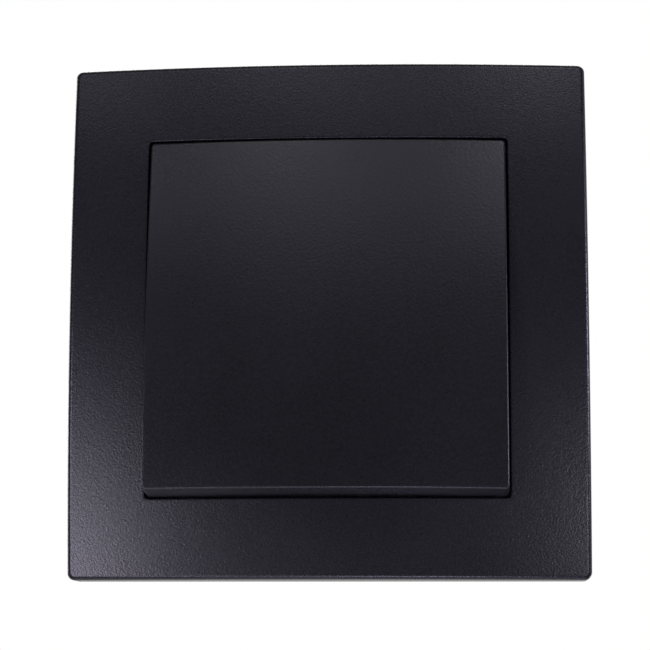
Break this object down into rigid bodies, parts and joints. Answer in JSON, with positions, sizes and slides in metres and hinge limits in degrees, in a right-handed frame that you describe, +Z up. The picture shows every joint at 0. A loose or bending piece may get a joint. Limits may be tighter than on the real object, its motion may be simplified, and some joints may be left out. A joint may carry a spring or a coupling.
{
  "type": "rocker wall switch",
  "caption": "Flush single-gang rocker light switch: crowned square cover frame, full-face tilting key, steel support plate and two-way contact insert with spreading claws.",
  "frame": {"origin": "centre of the switch on the wall plane, where the cover frame's skirt and the support plate meet the wall", "axes": "+Z up, -Y out of the wall towards the room (the key faces -Y), +Y into the wall box, +X to the right seen from the room"},
  "size_m": [0.0812, 0.0398, 0.0812],
  "materials": {
    "frame_plastic": "fine satin grain, black, moulded",
    "key_plastic": "fine satin grain, black, moulded",
    "housing_plastic": "moulded grey thermoset, slightly rough",
    "insert_plastic": "moulded ivory, fine matt",
    "lever_plastic": "moulded orange, satin",
    "plate_steel": "zinc-plated, black passivation, satin",
    "claw_steel": "zinc-plated, faint yellow passivation",
    "screw_steel": "zinc-plated, turned",
    "spring_steel": "drawn spring steel",
    "contact_brass": "rolled brass strip",
    "contact_silver": "silver contact rivet, matt"
  },
  "bodies": {
    "root": {"cover_frame": "frame_plastic", "support_plate": "plate_steel", "rear_housing": "housing_plastic", "front_housing": "insert_plastic", "housing_screw_upper": "screw_steel", "housing_screw_lower": "screw_steel", "common_terminal": "contact_brass", "traveller_terminal_upper": "contact_brass", "traveller_terminal_lower": "contact_brass", "fixed_rivet_upper": "contact_silver", "fixed_rivet_lower": "contact_silver", "common_clamp_spring": "spring_steel", "upper_clamp_spring": "spring_steel", "lower_clamp_spring": "spring_steel"},
    "rocker": {"rocker_key": "key_plastic", "rocker_carrier": "insert_plastic", "plunger_spring": "spring_steel"},
    "plunger": {"plunger": "insert_plastic"},
    "seesaw": {"moving_contact": "contact_brass", "moving_rivet_upper": "contact_silver", "moving_rivet_lower": "contact_silver"},
    "common_lever": {"common_release_lever": "lever_plastic"},
    "upper_lever": {"upper_release_lever": "lever_plastic"},
    "lower_lever": {"lower_release_lever": "lever_plastic"},
    "left_screw": {"claw_screw_left": "screw_steel"},
    "right_screw": {"claw_screw_right": "screw_steel"},
    "left_nut": {"claw_nut_left": "screw_steel"},
    "right_nut": {"claw_nut_right": "screw_steel"},
    "left_claw": {"claw_left": "claw_steel"},
    "right_claw": {"claw_right": "claw_steel"}
  },
  "joints": [
    {"name": "rocker_tilt", "type": "hinge", "parent": "root", "child": "rocker", "pos_m": [0, -0.01, 0], "axis": [1, 0, 0], "range_deg": [0, 13.34]},
    {"name": "plunger_retract", "type": "slide", "parent": "rocker", "child": "plunger", "axis": [0, -0.9932, 0.1162], "range_m": [0, 0.0012], "stiffness_N_per_m": 400, "springref_m": -0.0015, "deforming": ["plunger_spring"]},
    {"name": "seesaw_tilt", "type": "hinge", "parent": "root", "child": "seesaw", "pos_m": [0, 0.01205, 0], "axis": [1, 0, 0], "range_deg": [-16.1, 0]},
    {"name": "common_release", "type": "slide", "parent": "root", "child": "common_lever", "axis": [0, -1, 0], "range_m": [0, 0.0012], "stiffness_N_per_m": 500, "springref_m": -0.001},
    {"name": "upper_release", "type": "slide", "parent": "root", "child": "upper_lever", "axis": [0, -1, 0], "range_m": [0, 0.0012], "stiffness_N_per_m": 500, "springref_m": -0.001},
    {"name": "lower_release", "type": "slide", "parent": "root", "child": "lower_lever", "axis": [0, -1, 0], "range_m": [0, 0.0012], "stiffness_N_per_m": 500, "springref_m": -0.001},
    {"name": "left_screw_turn", "type": "hinge", "parent": "root", "child": "left_screw", "pos_m": [-0.0235, 0.005, 0], "axis": [0, 1, 0], "range_deg": [0, 2161]},
    {"name": "left_nut_climb", "type": "slide", "parent": "root", "child": "left_nut", "axis": [0, -1, 0], "range_m": [0, 0.003]},
    {"name": "left_claw_spread", "type": "hinge", "parent": "root", "child": "left_claw", "pos_m": [-0.0206, 0.0016, 0], "axis": [0, 0, 1], "range_deg": [0, 20.1]},
    {"name": "right_screw_turn", "type": "hinge", "parent": "root", "child": "right_screw", "pos_m": [0.0235, 0.005, 0], "axis": [0, 1, 0], "range_deg": [0, 2161]},
    {"name": "right_nut_climb", "type": "slide", "parent": "root", "child": "right_nut", "axis": [0, -1, 0], "range_m": [0, 0.003]},
    {"name": "right_claw_spread", "type": "hinge", "parent": "root", "child": "right_claw", "pos_m": [0.0206, 0.0016, 0], "axis": [0, 0, -1], "range_deg": [0, 20.1]}
  ],
  "couplings": [
    {"joint": "seesaw_tilt", "follows": "rocker_tilt", "ratio": -1.1994},
    {"joint": "left_screw_turn", "follows": "left_nut_climb", "rad_per_m": 12566},
    {"joint": "left_claw_spread", "follows": "left_nut_climb", "rad_per_m": 116.36},
    {"joint": "right_screw_turn", "follows": "right_nut_climb", "rad_per_m": 12566},
    {"joint": "right_claw_spread", "follows": "right_nut_climb", "rad_per_m": 116.36}
  ]
}
